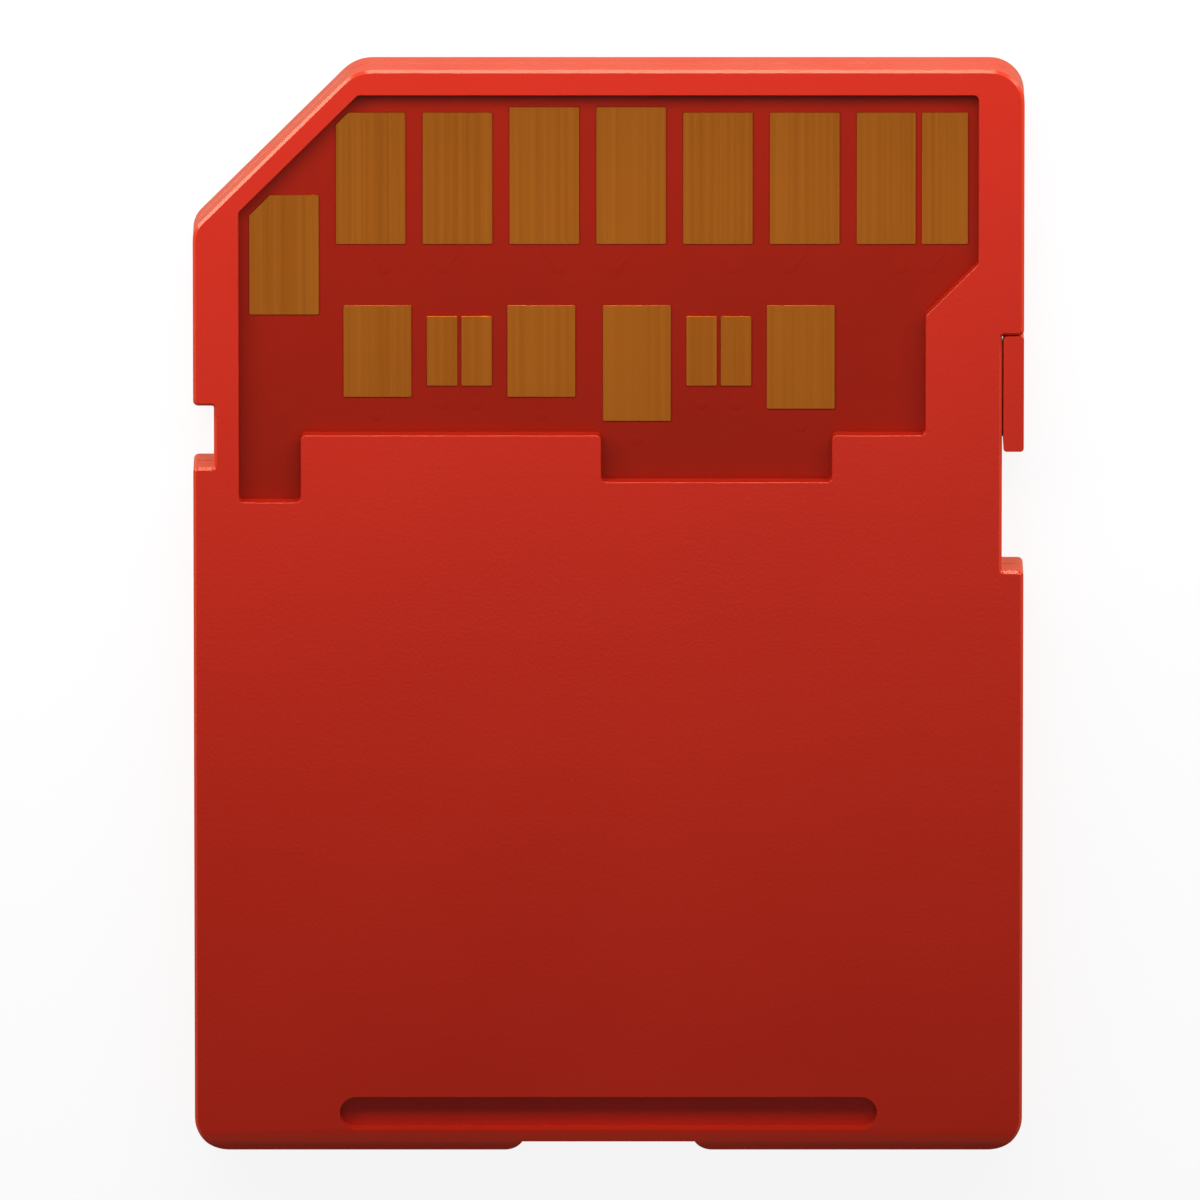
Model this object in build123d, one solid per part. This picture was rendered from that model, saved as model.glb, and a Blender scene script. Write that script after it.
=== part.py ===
from build123d import *

import math
import os

# A full-size memory card, in millimetres. It lies on its label side with the contacts up: X runs
# across the card, Y toward the contact end and Z up, with the origin under the middle of the card.

# Card outline
card_width = 24.0
card_length = 32.0
card_thickness = 2.1
corner_cut = 4.7
cut_end_round = 1.2
cut_side_round = 0.8
corner_round = 1.0

# Shell walls and the plane where the two halves are welded
weld_height = 1.05
front_wall = 0.40
back_wall = 0.54
side_wall = 0.80
contact_end_wall = 0.45
tail_wall = 1.90
cut_wall = 0.30
notch_wall = 0.35
cavity_round = 0.25
back_edge_cut = 0.08
front_edge_cut = 0.12
weld_relief = 0.04

# Notch that a latch of the host holds, in the left edge
lock_notch_offset = 9.89
lock_notch_length = 1.82
lock_notch_depth = 0.60
notch_mouth_round = 0.15
notch_inner_round = 0.06

# Finger groove, thumb relief and rounded top edge at the tail
groove_offset = 1.14
groove_length = 15.6
groove_width = 0.97
groove_depth = 0.42
groove_draft = 4.0
relief_width = 5.0
relief_depth = 0.28
relief_round = 0.60
tail_round_run = 0.66
tail_round_drop = 0.24

# Contact window in the back shell: lips that overlap the board, and the window's lower bays
window_side_lip = 0.52
window_end_lip = 0.29
window_cut_lip = 0.27
window_corner_round = 0.15
window_edge_cut = 0.02
jog_gap = 0.50
jog_width = 1.52
window_row_gap = 0.69
bay_gap = 1.71
bay_side_gap = 0.05
bay_ledge = 2.70
leg_length = 1.98
leg_width = 1.79

# Circuit board and contacts
board_thickness = 0.40
board_clearance = 0.08
contact_thickness = 0.05
contact_edge = 0.03
contact_width = 2.02
contact_length = 3.88
long_contact_length = 4.04
contact_7_width = 1.71
contact_8_width = 1.34
contact_9_length = 3.53
contact_9_drop = 2.08
contact_1_cut = 0.36
contact_9_cut = 0.60
contact_end_gap = 0.30
contact_pair_gap = 0.17
contact_top_gap = 0.43

# Second row of contacts
row_gap = 1.81
wide_width = 1.97
narrow_width = 0.89
ground_length = 2.70
supply_length = 3.41
last_ground_length = 3.05
signal_length = 2.05
signal_drop = 0.32
second_row_inset = 0.70
second_gap = 0.44
second_pair_gap = 0.105
second_middle_gap = 0.79

# Write-protect slider and the guide that holds it in the right edge
slot_gap = 0.58
slot_depth = 0.63
slider_length = 3.40
slider_travel = 3.48
slider_end_clearance = 0.04
slider_clearance = 0.04
slider_face_inset = 0.05
slider_round = 0.10
neck_height = 0.40
guide_wall = 0.40
flange_thickness = 0.50
flange_height = 1.00
flange_end_inset = 0.30
grip_pitch = 0.55
grip_radius = 0.12
grip_face_margin = 0.45

# Locating pegs of the back shell, and the bosses and ribs of the front shell that take them
peg_radius = 0.45
peg_depth = 0.80
peg_clearance = 0.05
boss_radius = 0.80
peg_side_inset = 2.30
peg_tail_inset = 1.80
peg_leg_gap = 2.00
rib_thickness = 0.50
end_rib_offset = 2.60
end_rib_inset = 1.50
label_depth = 0.10
label_margin = 1.20
label_round = 0.80

# Packages under the board
memory_length = 13.0
memory_rib_gap = 1.33
memory_floor_clearance = 0.06
controller_side = 7.0
controller_inset = 0.77
controller_peg_gap = 6.20
controller_floor_clearance = 0.16
package_corner_cut = 0.25
passive_length = 1.0
passive_width = 0.5
passive_pitch = 1.8
passive_count = 4
capacitor_floor_clearance = 0.26
resistor_height = 0.30
capacitor_gap = 1.60
resistor_gap = 2.40
cap_band = 0.22
cap_step = 0.02

# Edges and levels that follow from the sizes above
left = -card_width / 2
right = card_width / 2
tail = -card_length / 2
end = card_length / 2
board_top = card_thickness - back_wall
board_bottom = board_top - board_thickness

# Window and first row of contacts
window_left = left + side_wall + window_side_lip
window_right = right - side_wall - window_side_lip
window_top = end - contact_end_wall - window_end_lip
row_base = window_top - contact_top_gap - long_contact_length
row_widths = [contact_width] * 7 + [contact_7_width, contact_8_width]
row_slack = window_right - window_left - sum(row_widths) - 2 * contact_end_gap - contact_pair_gap
contact_gap = row_slack / (len(row_widths) - 2)
contact_9_left = window_left + contact_end_gap

# Second row, and the window edges below it
second_top = row_base - row_gap
second_left = contact_9_left + contact_width + second_row_inset
jog_top = row_base - jog_gap
jog_right = window_right - jog_width
window_low = second_top - last_ground_length - window_row_gap
leg_low = window_low - leg_length
bay_low = second_top - supply_length - bay_gap
second_half = 2 * wide_width + 2 * narrow_width + 2 * second_gap + second_pair_gap
bay_left = second_left + second_half + second_middle_gap - bay_side_gap
bay_right = jog_right - bay_ledge

# Notches
lock_near = end - lock_notch_offset
lock_far = lock_near - lock_notch_length
lock_inner = left + lock_notch_depth
slot_near = jog_top - jog_width - slot_gap
slot_far = slot_near - slider_length - slider_travel - 2 * slider_end_clearance
slot_inner = right - slot_depth

# Slider guide, from the slot inward
channel_outer = slot_inner - guide_wall
channel_inner = channel_outer - flange_thickness - 2 * slider_clearance
guide_inner = channel_inner - notch_wall

# Locating pegs
peg_x = right - side_wall - peg_side_inset
peg_low_y = tail + tail_wall + peg_tail_inset
peg_high_y = leg_low - peg_leg_gap
peg_places = [(sx * peg_x, y) for y in (peg_low_y, peg_high_y) for sx in (-1, 1)]


def rect(x0, y0, x1, y1):
    """A rectangle between two corners."""
    return Pos((x0 + x1) / 2, (y0 + y1) / 2) * Rectangle(x1 - x0, y1 - y0)


def prism(face, z0, z1):
    """A face in plan, carried up from one height to another."""
    return extrude(Pos(0, 0, z0) * face, amount=z1 - z0, dir=(0, 0, 1))


def block(x0, y0, z0, x1, y1, z1):
    """A plain block between two corners."""
    return prism(rect(x0, y0, x1, y1), z0, z1)


def level_block(x0, y0, x1, y1, height):
    """A plain block that is centred on the weld."""
    return block(x0, y0, weld_height - height / 2, x1, y1, weld_height + height / 2)


def card_outline():
    """The card in plan, with its cut corner and both edge notches."""
    corners = [
        (left, tail, corner_round),
        (right, tail, corner_round),
        (right, slot_far, notch_mouth_round),
        (slot_inner, slot_far, notch_inner_round),
        (slot_inner, slot_near, notch_inner_round),
        (right, slot_near, notch_mouth_round),
        (right, end, corner_round),
        (left + corner_cut, end, cut_end_round),
        (left, end - corner_cut, cut_side_round),
        (left, lock_near, notch_mouth_round),
        (lock_inner, lock_near, notch_inner_round),
        (lock_inner, lock_far, notch_inner_round),
        (left, lock_far, notch_mouth_round),
    ]
    path = FilletPolyline(*[(x, y) for x, y, r in corners], radius=[r for x, y, r in corners], close=True)
    return make_face(path)


def thumb_relief():
    """The shallow bite in the tail edge, with ends that roll out onto the edge."""
    run = math.sqrt(relief_round**2 - (relief_round - relief_depth) ** 2)
    reach = relief_width / 2 + run
    bite = rect(-reach, tail, reach, tail + relief_depth)
    for sx in (-1, 1):
        bite -= Pos(sx * reach, tail + relief_round) * Circle(relief_round)
    return bite


def inner_profile(inset):
    """The hollow of the case in plan, or with an inset what fits in it."""
    x0 = left + side_wall + inset
    x1 = right - side_wall - inset
    y0 = tail + tail_wall + inset
    y1 = end - contact_end_wall - inset
    cut_sum = corner_cut + (cut_wall + inset) * math.sqrt(2)
    corners = [
        (x0, y0),
        (x1, y0),
        (x1, y1),
        (left + cut_sum - (end - y1), y1),
        (x0, end - cut_sum + (x0 - left)),
    ]
    profile = make_face(FilletPolyline(*corners, radius=cavity_round, close=True))
    reach = notch_wall + inset
    profile -= rect(left, lock_far - reach, lock_inner + reach, lock_near + reach)
    profile -= rect(guide_inner - inset, slot_far - reach, right, slot_near + reach)
    return profile


def window_outline():
    """The contact window in plan: a cut corner, a jog beside the slider and two bays below."""
    cut_sum = corner_cut + (cut_wall + window_cut_lip) * math.sqrt(2)
    corners = [
        (window_left, leg_low),
        (window_left + leg_width, leg_low),
        (window_left + leg_width, window_low),
        (bay_left, window_low),
        (bay_left, bay_low),
        (bay_right, bay_low),
        (bay_right, window_low),
        (jog_right, window_low),
        (jog_right, jog_top - jog_width),
        (window_right, jog_top),
        (window_right, window_top),
        (left + cut_sum - (end - window_top), window_top),
        (window_left, end - cut_sum + (window_left - left)),
    ]
    return make_face(FilletPolyline(*corners, radius=window_corner_round, close=True))


def finger_groove():
    """A cutter for the flat-bottomed groove in the tail wall, with round ends and drafted sides."""
    mouth = Pos(0, tail + groove_offset, card_thickness) * SlotOverall(groove_length, groove_width)
    return extrude(mouth, amount=groove_depth, dir=(0, 0, -1), taper=groove_draft)


def tail_rounding():
    """A cutter that rolls the back face down at the tail."""
    radius = (tail_round_run**2 + tail_round_drop**2) / (2 * tail_round_drop)
    start = tail + tail_round_run
    low = card_thickness - radius
    cutter = block(left - radius, start - radius, low, right + radius, start, card_thickness + radius)
    return cutter - Pos(0, start, low) * Rot(0, 90, 0) * Cylinder(radius, 3 * card_width)


def slider_guide():
    """A cutter for the neck slot and the flange channel, which straddle the weld."""
    neck = level_block(channel_inner, slot_far, slot_inner, slot_near, neck_height + 2 * slider_clearance)
    channel_height = flange_height + 2 * slider_clearance
    return neck + level_block(channel_inner, slot_far, channel_outer, slot_near, channel_height)


def edges_at(part, height):
    """The edges of a part that lie in one level plane."""
    return part.edges().filter_by_position(Axis.Z, height - 1e-4, height + 1e-4)


def make_back_shell():
    """The contact-side half: window, groove, notches, rolled tail and locating pegs."""
    shell = prism(card_outline(), weld_height, card_thickness)
    shell = chamfer(edges_at(shell, card_thickness), back_edge_cut)
    shell = chamfer(edges_at(shell, weld_height), weld_relief)
    shell -= prism(thumb_relief(), 0, card_thickness)
    shell -= tail_rounding()
    shell -= prism(inner_profile(0), weld_height, board_top)
    shell -= prism(window_outline(), board_top, card_thickness)
    back_face = shell.faces().sort_by(Axis.Z)[-1]
    shell = chamfer(back_face.inner_wires()[0].edges(), window_edge_cut)
    shell -= finger_groove()
    shell -= slider_guide()
    for x, y in peg_places:
        peg = Pos(x, y, board_top - peg_depth / 2) * Cylinder(peg_radius, peg_depth)
        tip = peg.faces().sort_by(Axis.Z)[0]
        shell += chamfer(tip.edges(), peg_clearance)
    return shell


def make_front_shell():
    """The label-side half: label recess, bosses for the pegs and ribs that carry the board."""
    shell = prism(card_outline(), 0, weld_height)
    shell = chamfer(edges_at(shell, 0), front_edge_cut)
    shell = chamfer(edges_at(shell, weld_height), weld_relief)
    shell -= prism(thumb_relief(), 0, card_thickness)
    shell -= prism(inner_profile(0), front_wall, weld_height)
    shell -= slider_guide()

    half = rib_thickness / 2
    for y in (peg_low_y, peg_high_y):
        shell += block(-peg_x, y - half, front_wall, peg_x, y + half, board_bottom)
    rib_y = end - end_rib_offset
    rib_left = left + corner_cut + end_rib_inset
    shell += block(rib_left, rib_y - half, front_wall, right - side_wall, rib_y + half, board_bottom)
    for x, y in peg_places:
        height = board_bottom - front_wall
        shell += Pos(x, y, front_wall + height / 2) * Cylinder(boss_radius, height)
    for x, y in peg_places:
        depth = peg_depth - board_thickness + peg_clearance
        shell -= Pos(x, y, board_bottom - depth / 2) * Cylinder(peg_radius + peg_clearance, depth)

    margin = label_margin
    cut_sum = corner_cut + margin * math.sqrt(2)
    corners = [
        (left + margin, tail + margin),
        (right - margin, tail + margin),
        (right - margin, end - margin),
        (left + cut_sum - margin, end - margin),
        (left + margin, end - cut_sum + margin),
    ]
    label = make_face(FilletPolyline(*corners, radius=label_round, close=True))
    return shell - prism(label, 0, label_depth)


def make_circuit_board():
    """The board: it fills the hollow, seats on the back shell and is threaded by its pegs."""
    board = prism(inner_profile(board_clearance), board_bottom, board_top)
    for x, y in peg_places:
        board -= Pos(x, y, board_bottom) * Cylinder(peg_radius + peg_clearance, 3 * board_thickness)
    return board


def make_contact(x0, y0, width, length, cut=0.0):
    """One gold contact on the board, with its upper left corner cut where the case is cut."""
    x1 = x0 + width
    y1 = y0 + length
    corners = [(x0, y0), (x1, y0), (x1, y1)]
    if cut:
        corners += [(x0 + cut, y1), (x0, y1 - cut)]
    else:
        corners += [(x0, y1)]
    top = board_top + contact_thickness
    pad = prism(make_face(Polyline(*corners, close=True)), board_top, top)
    return chamfer(edges_at(pad, top), contact_edge)


def make_first_row():
    """The nine contacts of the first row, from the cut corner across: 9, then 1 to 8."""
    contacts = {}
    contacts["contact_9"] = make_contact(
        contact_9_left, row_base - contact_9_drop, contact_width, contact_9_length, contact_9_cut
    )
    x = contact_9_left + contact_width + contact_gap
    for number in range(1, 9):
        width = row_widths[number]
        length = long_contact_length if number in (3, 4) else contact_length
        cut = contact_1_cut if number == 1 else 0.0
        contacts[f"contact_{number}"] = make_contact(x, row_base, width, length, cut)
        x += width + (contact_pair_gap if number == 7 else contact_gap)
    return contacts


def make_second_row():
    """The eight contacts of the second row: ground, a signal pair and ground, twice."""
    wide_lengths = {10: ground_length, 13: ground_length, 14: supply_length, 17: last_ground_length}
    gaps = {11: second_pair_gap, 15: second_pair_gap, 13: second_middle_gap}
    contacts = {}
    x = second_left
    for number in range(10, 18):
        if number in wide_lengths:
            width, length, y_top = wide_width, wide_lengths[number], second_top
        else:
            width, length, y_top = narrow_width, signal_length, second_top - signal_drop
        contacts[f"contact_{number}"] = make_contact(x, y_top - length, width, length)
        x += width + gaps.get(number, second_gap)
    return contacts


def make_slider():
    """The write-protect tab at its unlocked end, with the neck and flange that hold it in."""
    y1 = slot_near - slider_end_clearance
    y0 = y1 - slider_length
    tab_inner = slot_inner + slider_clearance
    tab_face = make_face(
        FilletPolyline(
            (tab_inner, y0), (right, y0), (right, y1), (tab_inner, y1), radius=slider_round, close=True
        )
    )
    tab = prism(tab_face, slider_face_inset, card_thickness - slider_face_inset)
    for step in (-1, 0, 1):
        place = Pos(right, (y0 + y1) / 2 + step * grip_pitch, card_thickness / 2)
        tab -= place * Cylinder(grip_radius, card_thickness - 2 * grip_face_margin)

    low = y0 + flange_end_inset
    high = y1 - flange_end_inset
    flange_outer = channel_outer - slider_clearance
    flange_inner = flange_outer - flange_thickness
    neck = level_block(flange_outer, low, tab_inner, high, neck_height)
    return tab + neck + level_block(flange_inner, low, flange_outer, high, flange_height)


def make_package(x, y, size_x, size_y, height):
    """A moulded chip package hanging under the board, with its first corner cut."""
    body = prism(Pos(x, y) * Rectangle(size_x, size_y), board_bottom - height, board_bottom)
    first = body.edges().filter_by(Axis.Z).group_by(Axis.X)[0].sort_by(Axis.Y)[-1]
    return chamfer(first, package_corner_cut)


def make_passive(x, y, height):
    """A two-ended chip component under the board, with end caps that stand a little proud."""
    low = board_bottom - height
    ceramic = Pos(x, y) * Rectangle(passive_length, passive_width - 2 * cap_step)
    body = prism(ceramic, low + cap_step, board_bottom)
    for sx in (-1, 1):
        cap_x = x + sx * (passive_length - cap_band) / 2
        body += prism(Pos(cap_x, y) * Rectangle(cap_band, passive_width), low, board_bottom)
    return body


def make_packages():
    """The memory, the controller and the rows of passives beside it."""
    space = board_bottom - front_wall
    memory_y = (peg_low_y + peg_high_y) / 2
    memory_width = peg_high_y - peg_low_y - rib_thickness - 2 * memory_rib_gap
    controller_x = second_left + controller_inset + controller_side / 2
    controller_y = peg_high_y + controller_peg_gap
    pieces = {
        "memory_chip": make_package(0, memory_y, memory_length, memory_width, space - memory_floor_clearance),
        "controller_chip": make_package(
            controller_x, controller_y, controller_side, controller_side, space - controller_floor_clearance
        ),
    }
    capacitor_x = controller_x + controller_side / 2 + capacitor_gap
    resistor_x = capacitor_x + resistor_gap
    for index in range(passive_count):
        y = controller_y + (index - (passive_count - 1) / 2) * passive_pitch
        pieces[f"capacitor_{index + 1}"] = make_passive(capacitor_x, y, space - capacitor_floor_clearance)
        pieces[f"resistor_{index + 1}"] = make_passive(resistor_x, y, resistor_height)
    return pieces


def main():
    """Build every piece and write each one to its own file."""
    pieces = {
        "back_shell": make_back_shell(),
        "front_shell": make_front_shell(),
        "circuit_board": make_circuit_board(),
        "write_protect_slider": make_slider(),
    }
    pieces.update(make_first_row())
    pieces.update(make_second_row())
    pieces.update(make_packages())
    os.makedirs("parts", exist_ok=True)
    for name, piece in pieces.items():
        export_step(piece, f"parts/{name}.step")


main()
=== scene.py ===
"""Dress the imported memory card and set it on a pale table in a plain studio.

The card lies on its label side with its contacts up. Objects are in metres. Sizes whose names end in
_mm, the geometry trees and the patterns in the materials are in millimetres.
"""

from __future__ import annotations

import logging
import math
from dataclasses import dataclass
from enum import Enum
from typing import Any

import bmesh
import bpy
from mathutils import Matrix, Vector

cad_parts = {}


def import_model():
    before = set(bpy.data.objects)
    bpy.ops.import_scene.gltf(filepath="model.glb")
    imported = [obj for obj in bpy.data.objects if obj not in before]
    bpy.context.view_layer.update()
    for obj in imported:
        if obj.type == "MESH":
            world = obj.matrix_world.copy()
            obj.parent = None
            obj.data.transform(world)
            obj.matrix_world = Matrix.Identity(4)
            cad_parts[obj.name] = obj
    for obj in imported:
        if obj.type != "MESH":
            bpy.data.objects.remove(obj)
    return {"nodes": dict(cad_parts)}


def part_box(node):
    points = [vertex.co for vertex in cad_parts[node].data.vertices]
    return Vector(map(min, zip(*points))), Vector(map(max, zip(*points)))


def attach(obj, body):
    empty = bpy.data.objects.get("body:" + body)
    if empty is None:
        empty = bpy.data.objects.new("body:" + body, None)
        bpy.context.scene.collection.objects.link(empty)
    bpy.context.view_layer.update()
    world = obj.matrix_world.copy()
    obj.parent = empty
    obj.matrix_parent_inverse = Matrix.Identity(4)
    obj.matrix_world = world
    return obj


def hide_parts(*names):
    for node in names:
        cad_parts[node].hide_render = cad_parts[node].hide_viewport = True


frame: dict[str, Any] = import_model()

MM = 0.001
# Faces of the outer cut edges, which get more gloss and a painted highlight line.
CUT_EDGE_HIGHLIGHT = "cut_edge"
AREA_WEIGHT = 50
LOG = logging.getLogger("memory_card")

Colour = tuple[float, float, float, float]
Point = tuple[float, float, float]
Range = tuple[float, float]

WHITE: Colour = (1.0, 1.0, 1.0, 1.0)
WARM_EDGE: Point = (1.0, 0.86, 0.62)
WARM_PANEL: Point = (1.0, 0.66, 0.30)


class Body(Enum):
    """The moving bodies of the card."""

    CARD = "card"
    SLIDER = "slider"


class Slot(Enum):
    """The card's finishes."""

    SHELL = "shell"
    SLIDER = "slider"
    BOARD = "board"
    CONTACT = "contact"
    PACKAGE = "package"
    CAPACITOR = "capacitor"
    RESISTOR = "resistor"


class Effect(Enum):
    """Surface effects that several finishes share."""

    MOULD_GRAIN = "mould_grain"
    # Edges painted paler: partly rubbed by handling, partly a painted highlight.
    EDGE_WEAR_AND_HIGHLIGHT = "edge_wear_and_highlight"
    HANDLING_FILM = "handling_film"


class NodeGraph:
    """Adds nodes to one tree, sets their sockets and links them."""

    def __init__(self, tree: bpy.types.NodeTree) -> None:
        """Keep the tree."""
        self.tree = tree

    def add(
        self,
        kind: str,
        inputs: dict[str | int, Any] | None = None,
        **settings: Any,
    ) -> bpy.types.Node:
        """Add one node.

        Args:
            kind: The node's type, as Blender names it.
            inputs: A value for each socket, or the output that feeds it.
            settings: Properties of the node itself.

        Returns:
            The new node.
        """
        node = self.tree.nodes.new(kind)
        for name, value in settings.items():
            setattr(node, name, value)
        for key, value in (inputs or {}).items():
            if isinstance(value, bpy.types.NodeSocket):
                self.tree.links.new(value, node.inputs[key])
            else:
                node.inputs[key].default_value = value
        return node

    def math(self, operation: str, first: Any, second: Any = 0.0) -> bpy.types.NodeSocket:
        """Add a sum of one or two values and return its result."""
        node = self.add("ShaderNodeMath", {0: first, 1: second}, operation=operation)
        return node.outputs[0]

    def mix(self, factor: Any, first: Any, second: Any) -> bpy.types.NodeSocket:
        """Blend two colours by a factor and return the result."""
        node = self.add("ShaderNodeMix", {0: factor, 6: first, 7: second}, data_type="RGBA")
        return node.outputs[2]

    def spread(
        self, value: Any, low: float, high: float, to_low: float = 0.0, to_high: float = 1.0
    ) -> bpy.types.NodeSocket:
        """Map a range of values onto another, held at its ends.

        Args:
            value: The value to map.
            low: Where the range starts.
            high: Where the range ends.
            to_low: What the start becomes.
            to_high: What the end becomes.

        Returns:
            The mapped value.
        """
        limits = {0: value, 1: low, 2: high, 3: to_low, 4: to_high}
        return self.add("ShaderNodeMapRange", limits, clamp=True).outputs[0]

    def noise(
        self, vector: Any, scale: Any, detail: float = 2.0, roughness: float = 0.5
    ) -> bpy.types.NodeSocket:
        """Add fractal noise.

        Args:
            vector: The coordinates that it reads.
            scale: Features in each unit of the coordinates.
            detail: Octaves of finer noise.
            roughness: How strong the finer octaves are.

        Returns:
            The noise, from about 0 to 1.
        """
        inputs = {"Vector": vector, "Scale": scale, "Detail": detail, "Roughness": roughness}
        return self.add("ShaderNodeTexNoise", inputs).outputs[0]

    def stretch(self, vector: Any, scale: Point) -> bpy.types.NodeSocket:
        """Scale coordinates by axis and return them."""
        return self.add("ShaderNodeMapping", {"Vector": vector, "Scale": scale}).outputs[0]


class EffectLibrary:
    """Shader node groups, each built once and placed in many materials."""

    FINE_GRAIN = 1.6
    COARSE_GRAIN = 0.7
    FINE_SHARE = 0.4
    FLOW_ROUGHNESS = 0.55
    FLOW_RANGE: Range = (0.3, 0.7)
    BEVEL_SAMPLES = 3
    EDGE_TURN: Range = (0.995, 0.82)
    EDGE_PATCH_ROUGHNESS = 0.6
    EDGE_PATCH_RANGE: Range = (0.35, 0.65)
    LEAST_EDGE_PATCH = 0.25
    FILM_DETAIL = 3.0
    FILM_ROUGHNESS = 0.62
    FILM_RANGE: Range = (0.32, 0.68)
    RUB_STRETCH: Point = (9.0, 0.05, 9.0)
    RUB_RANGE: Range = (0.35, 0.65)
    HAIR_STRETCH: Point = (21.0, 0.55, 21.0)
    HAIR_RANGE: Range = (0.69, 0.75)
    HAIR_PATCHES = 1.7
    PATCH_RANGE: Range = (0.5, 0.62)

    def __init__(self) -> None:
        """Start with no groups."""
        self.trees: dict[Effect, bpy.types.NodeTree] = {}

    def place(self, graph: NodeGraph, effect: Effect, inputs: dict[str | int, Any]) -> bpy.types.Node:
        """Place an effect in a material.

        Args:
            graph: The material's graph.
            effect: The effect to place.
            inputs: Values for the group's inputs.

        Returns:
            The group's node.
        """
        if effect not in self.trees:
            builders = {
                Effect.MOULD_GRAIN: self.mould_grain,
                Effect.EDGE_WEAR_AND_HIGHLIGHT: self.edge_wear_and_highlight,
                Effect.HANDLING_FILM: self.handling_film,
            }
            self.trees[effect] = builders[effect]()
        return graph.add("ShaderNodeGroup", inputs, node_tree=self.trees[effect])

    @staticmethod
    def new_tree(
        effect: Effect, inputs: dict[str, float | None], outputs: list[str]
    ) -> tuple[NodeGraph, bpy.types.Node, bpy.types.Node]:
        """Start a group.

        Args:
            effect: The effect, which names the group.
            inputs: Each input's usual value, or None for a vector.
            outputs: Names of the values that the group puts out.

        Returns:
            The group's graph, its input node and its output node.
        """
        tree = bpy.data.node_groups.new(effect.value, "ShaderNodeTree")
        for name, value in inputs.items():
            kind = "NodeSocketVector" if value is None else "NodeSocketFloat"
            socket = tree.interface.new_socket(name, in_out="INPUT", socket_type=kind)
            if value is not None:
                socket.default_value = value
        for name in outputs:
            tree.interface.new_socket(name, in_out="OUTPUT", socket_type="NodeSocketFloat")
        graph = NodeGraph(tree)
        return graph, graph.add("NodeGroupInput"), graph.add("NodeGroupOutput")

    def mould_grain(self) -> bpy.types.NodeTree:
        """Build the texture of a spark-eroded mould and the broad flow of its melt."""
        sizes = {"Vector": None, "Grain": 12.0, "Flow": 0.12}
        graph, given, made = self.new_tree(Effect.MOULD_GRAIN, sizes, ["Height", "Flow"])
        vector = given.outputs["Vector"]
        grain = given.outputs["Grain"]
        fine = graph.noise(vector, graph.math("MULTIPLY", grain, self.FINE_GRAIN), detail=0.0)
        coarse = graph.noise(vector, graph.math("MULTIPLY", grain, self.COARSE_GRAIN), detail=0.0)
        fine_part = graph.math("MULTIPLY", fine, self.FINE_SHARE)
        coarse_part = graph.math("MULTIPLY", coarse, 1.0 - self.FINE_SHARE)
        height = graph.math("ADD", fine_part, coarse_part)
        flow = graph.noise(vector, given.outputs["Flow"], roughness=self.FLOW_ROUGHNESS)
        graph.tree.links.new(height, made.inputs["Height"])
        graph.tree.links.new(graph.spread(flow, *self.FLOW_RANGE), made.inputs["Flow"])
        return graph.tree

    def edge_wear_and_highlight(self) -> bpy.types.NodeTree:
        """Build a mask of the edges, broken up along their length, for edges rubbed by handling and for a
        painted highlight.
        """
        sizes = {"Vector": None, "Radius": 0.00006, "Breakup": 1.5}
        graph, given, made = self.new_tree(Effect.EDGE_WEAR_AND_HIGHLIGHT, sizes, ["Mask"])
        radius = {"Radius": given.outputs["Radius"]}
        rounded = graph.add("ShaderNodeBevel", radius, samples=self.BEVEL_SAMPLES)
        plain = graph.add("ShaderNodeNewGeometry")
        ends = {0: rounded.outputs[0], 1: plain.outputs["Normal"]}
        agree = graph.add("ShaderNodeVectorMath", ends, operation="DOT_PRODUCT")
        edge = graph.spread(agree.outputs["Value"], *self.EDGE_TURN)
        breakup = given.outputs["Breakup"]
        patches = graph.noise(given.outputs["Vector"], breakup, roughness=self.EDGE_PATCH_ROUGHNESS)
        worn_and_highlight = graph.spread(patches, *self.EDGE_PATCH_RANGE, to_low=self.LEAST_EDGE_PATCH)
        graph.tree.links.new(graph.math("MULTIPLY", edge, worn_and_highlight), made.inputs["Mask"])
        return graph.tree

    def handling_film(self) -> bpy.types.NodeTree:
        """Build the faint film, the rubbed lines and the hairline scratches that handling leaves."""
        sizes = {"Vector": None, "Scale": 0.4}
        graph, given, made = self.new_tree(Effect.HANDLING_FILM, sizes, ["Film", "Rub", "Scratch"])
        vector = given.outputs["Vector"]
        scale = given.outputs["Scale"]
        film = graph.noise(vector, scale, self.FILM_DETAIL, self.FILM_ROUGHNESS)
        rub = graph.noise(graph.stretch(vector, self.RUB_STRETCH), scale, self.FILM_DETAIL)
        hairs = graph.noise(graph.stretch(vector, self.HAIR_STRETCH), 1.0, detail=0.0)
        where = graph.noise(vector, graph.math("MULTIPLY", scale, self.HAIR_PATCHES), detail=1.0)
        hair = graph.spread(hairs, *self.HAIR_RANGE)
        patch = graph.spread(where, *self.PATCH_RANGE)
        graph.tree.links.new(graph.math("MULTIPLY", hair, patch), made.inputs["Scratch"])
        graph.tree.links.new(graph.spread(film, *self.FILM_RANGE), made.inputs["Film"])
        graph.tree.links.new(graph.spread(rub, *self.RUB_RANGE), made.inputs["Rub"])
        return graph.tree


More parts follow.
